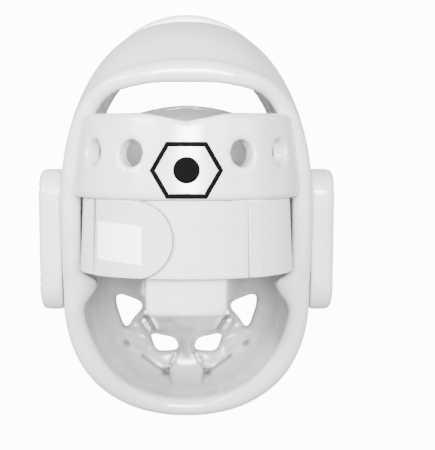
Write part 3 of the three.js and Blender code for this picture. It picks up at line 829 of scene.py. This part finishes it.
def vinyl():
    """Dipped vinyl skin: faint waviness and a fine pebble in the gloss, colour mottled a little and
    darkened by painted shade deep inside the mouth guard.
    """
    material, shader, tree = new_material("dipped_vinyl")
    place = tree.nodes.new("ShaderNodeTexCoord")
    shader.inputs["Coat Weight"].default_value = 0.5
    shader.inputs["Coat Roughness"].default_value = 0.17
    wave = tree.nodes.new("ShaderNodeTexNoise")
    wave.inputs["Scale"].default_value = WAVE_SCALE
    wave.inputs["Detail"].default_value = 2
    tree.links.new(place.outputs["Object"], wave.inputs["Vector"])
    pebble = tree.nodes.new("ShaderNodeTexNoise")
    pebble.inputs["Scale"].default_value = PEBBLE_SCALE
    tree.links.new(place.outputs["Object"], pebble.inputs["Vector"])
    bump_chain(tree, shader, (wave.outputs["Fac"], 0.5, 0.0015), (pebble.outputs["Fac"], 0.25, 0.0002))
    tone = tree.nodes.new("ShaderNodeValToRGB")
    tone.color_ramp.elements[0].color = SKIN_DARK
    tone.color_ramp.elements[1].color = SKIN_LIGHT
    tree.links.new(wave.outputs["Fac"], tone.inputs["Fac"])
    # Painted shade: the attribute hollow mixes the colour towards a dark grey inside the mouth guard
    hollow = tree.nodes.new("ShaderNodeAttribute")
    hollow.attribute_name = "hollow"
    inner = tree.nodes.new("ShaderNodeMix")
    inner.data_type = "RGBA"
    factor, outer_shade, painted_shade = inner.inputs[0], inner.inputs[6], inner.inputs[7]
    painted_shade.default_value = SKIN_PAINTED_SHADE
    tree.links.new(hollow.outputs["Fac"], factor)
    tree.links.new(tone.outputs["Color"], outer_shade)
    tree.links.new(inner.outputs[2], shader.inputs["Base Color"])
    gloss = tree.nodes.new("ShaderNodeMapRange")
    gloss.inputs["To Min"].default_value = SKIN_ROUGHNESS[0]
    gloss.inputs["To Max"].default_value = SKIN_ROUGHNESS[1]
    tree.links.new(wave.outputs["Fac"], gloss.inputs["Value"])
    tree.links.new(gloss.outputs["Result"], shader.inputs["Roughness"])
    return material


def bump_chain(tree, shader, *layers):
    """Bump layers one on another, each a (height socket, strength, distance in metres)."""
    normal = None
    for height, strength, distance in layers:
        bump = tree.nodes.new("ShaderNodeBump")
        bump.inputs["Strength"].default_value = strength
        bump.inputs["Distance"].default_value = distance
        tree.links.new(height, bump.inputs["Height"])
        if normal:
            tree.links.new(normal, bump.inputs["Normal"])
        normal = bump.outputs["Normal"]
    tree.links.new(normal, shader.inputs["Normal"])


def weave_group():
    """Woven cloth on a piece's own flat map: rows along the strap and ribs across it, as a height
    and as a painted shade that is darker between the threads."""
    group = bpy.data.node_groups.new("weave", "ShaderNodeTree")
    for name in ("Rows", "Ribs", "Rib Share"):
        group.interface.new_socket(name, in_out="INPUT", socket_type="NodeSocketFloat")
    for name in ("Height", "Shade"):
        group.interface.new_socket(name, in_out="OUTPUT", socket_type="NodeSocketFloat")
    take = group.nodes.new("NodeGroupInput")
    give = group.nodes.new("NodeGroupOutput")
    flat = group.nodes.new("ShaderNodeUVMap")
    flat.uv_map = "along"
    split = group.nodes.new("ShaderNodeSeparateXYZ")
    group.links.new(flat.outputs["UV"], split.inputs["Vector"])

    def math_node(kind, first, second):
        node = group.nodes.new("ShaderNodeMath")
        node.operation = kind
        for socket, value in zip(node.inputs, (first, second)):
            if isinstance(value, (int, float)):
                socket.default_value = value
            else:
                group.links.new(value, socket)
        return node.outputs["Value"]

    def ridges(place, count):
        turns = math_node("MULTIPLY", math_node("MULTIPLY", place, count), 2 * math.pi)
        return math_node("MULTIPLY", math_node("ADD", math_node("SINE", turns, 0.0), 1.0), 0.5)

    rows = ridges(split.outputs["Y"], take.outputs["Rows"])
    ribs = ridges(split.outputs["X"], take.outputs["Ribs"])
    ribs = math_node("MULTIPLY", ribs, take.outputs["Rib Share"])
    height = math_node("ADD", rows, ribs)
    group.links.new(height, give.inputs["Height"])
    # Painted shade: the weave's grey is darker between the threads
    group.links.new(math_node("ADD", math_node("MULTIPLY", height, 0.5), 0.3), give.inputs["Shade"])
    return group


def cloth(name, rows, ribs, share, dark, light, strength, fuzz):
    """White cloth: weave heights from the group, a fine fuzz, and a tone between two greys set by the
    weave's painted shade and the fuzz, darkened by painted shade where the piece's own attribute says so."""
    material, shader, tree = new_material(name)
    weave = tree.nodes.new("ShaderNodeGroup")
    weave.node_tree = WEAVE
    for socket, value in (("Rows", rows), ("Ribs", ribs), ("Rib Share", share)):
        weave.inputs[socket].default_value = value
    place = tree.nodes.new("ShaderNodeTexCoord")
    noise = tree.nodes.new("ShaderNodeTexNoise")
    noise.inputs["Scale"].default_value = FUZZ_SCALE
    noise.inputs["Detail"].default_value = 3
    tree.links.new(place.outputs["Object"], noise.inputs["Vector"])
    blend = tree.nodes.new("ShaderNodeMath")
    blend.operation = "MULTIPLY"
    tree.links.new(weave.outputs["Shade"], blend.inputs[0])
    tree.links.new(noise.outputs["Fac"], blend.inputs[1])
    tone = tree.nodes.new("ShaderNodeValToRGB")
    tone.color_ramp.elements[0].color = (*[dark] * 3, 1)
    tone.color_ramp.elements[1].color = (*[light] * 3, 1)
    tone.color_ramp.elements[1].position = 0.55
    tree.links.new(blend.outputs["Value"], tone.inputs["Fac"])
    # Painted shade: the attribute shade mixes the colour towards a darker grey
    shaded = tree.nodes.new("ShaderNodeAttribute")
    shaded.attribute_name = "shade"
    under = tree.nodes.new("ShaderNodeMix")
    under.data_type = "RGBA"
    factor, open_shade, seam_shade = under.inputs[0], under.inputs[6], under.inputs[7]
    seam_shade.default_value = (*[dark * SEAM_SHADE] * 3, 1)
    tree.links.new(shaded.outputs["Fac"], factor)
    tree.links.new(tone.outputs["Color"], open_shade)
    tree.links.new(under.outputs[2], shader.inputs["Base Color"])
    shader.inputs["Roughness"].default_value = 0.85
    shader.inputs["Sheen Weight"].default_value = 0.25
    bump_chain(tree, shader, (weave.outputs["Height"], strength, WEAVE_DEPTH),
               (noise.outputs["Fac"], fuzz, WEAVE_DEPTH))
    return material


def plain(name, grey, roughness, grain, gloss=0.2):
    """One matt finish with a fine grain in its shade and its surface."""
    material, shader, tree = new_material(name)
    place = tree.nodes.new("ShaderNodeTexCoord")
    noise = tree.nodes.new("ShaderNodeTexNoise")
    noise.inputs["Scale"].default_value = GRAIN_SCALE
    tree.links.new(place.outputs["Object"], noise.inputs["Vector"])
    tone = tree.nodes.new("ShaderNodeValToRGB")
    tone.color_ramp.elements[0].color = (*[grey * (1 - grain)] * 3, 1)
    tone.color_ramp.elements[1].color = (*[grey] * 3, 1)
    tree.links.new(noise.outputs["Fac"], tone.inputs["Fac"])
    tree.links.new(tone.outputs["Color"], shader.inputs["Base Color"])
    shader.inputs["Roughness"].default_value = roughness
    shader.inputs["Specular IOR Level"].default_value = gloss
    bump_chain(tree, shader, (noise.outputs["Fac"], 0.3, 0.0001))
    return material


def dress(piece, material, slot_name, *nodes, body="root"):
    """Gives the piece its material, hangs it under the body's empty and hides the solids it stands for."""
    piece.data.materials.clear()
    piece.data.materials.append(material)
    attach(piece, body)
    if nodes:
        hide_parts(*nodes)
    return piece


camera()
studio()
SKIN = vinyl()

hood = shell_form()
open_shell(hood)
soften(hood, SHELL_VOXEL, 8)
mouth_relief(hood)
dress(hood, SKIN, "dipped_foam", "foam_shell")
dress(back_band(), SKIN, "dipped_foam", "back_band")
dress(nape_pad(), SKIN, "dipped_foam", "nape_pad")
dress(crown_pad(), SKIN, "dipped_foam", "crown_pad")
for side, node in ((-1, "ear_pad_left"), (1, "ear_pad_right")):
    dress(ear_pad(side), SKIN, "dipped_foam", node)

WEAVE = weave_group()
ELASTIC = cloth("white_elastic", rows=760, ribs=500, share=0.35, dark=0.5, light=0.78, strength=0.8,
                fuzz=0.25)
LOOP = cloth("white_loop", rows=300, ribs=300, share=0.5, dark=0.46, light=0.6, strength=0.15, fuzz=0.9)
HOOK = cloth("white_hook_back", rows=620, ribs=620, share=0.9, dark=0.42, light=0.57, strength=0.35,
             fuzz=0.35)
THREAD = plain("white_thread", grey=0.5, roughness=0.7, grain=0.2)
LABEL = plain("white_satin", grey=0.95, roughness=0.5, grain=0.04)
INK = plain("black_ink", grey=0.003, roughness=0.9, grain=0.3, gloss=0.03)

for side, node in ((-1, "elastic_left"), (1, "elastic_right")):
    web = dress(elastic(side), ELASTIC, "elastic", node)
loop_band = dress(loop_panel(), LOOP, "loop_fabric", "loop_panel")
hook_flap = dress(hook_tab(), HOOK, "hook_fabric", "hook_tab")
label = patch("blank_label", OUTER, dense(label_outline()), SEAT, LABEL_THICKNESS)
dress(label, LABEL, "label", "care_label")

emblem = printed_ring("printed_frame", BAND, emblem_frame(), EMBLEM_LINE, EMBLEM_LIFT, EMBLEM_INK)
dress(emblem, INK, "dipped_foam")
dress(patch("printed_disc", BAND, emblem_disc(), EMBLEM_LIFT, EMBLEM_INK), INK, "dipped_foam")

dress(stitches("tab_stitches", OUTER, STITCH_LIFT, tab_seams()), THREAD, "hook_fabric")
dress(stitches("elastic_stitches", STRAP, STITCH_LIFT, elastic_seams()), THREAD, "elastic")
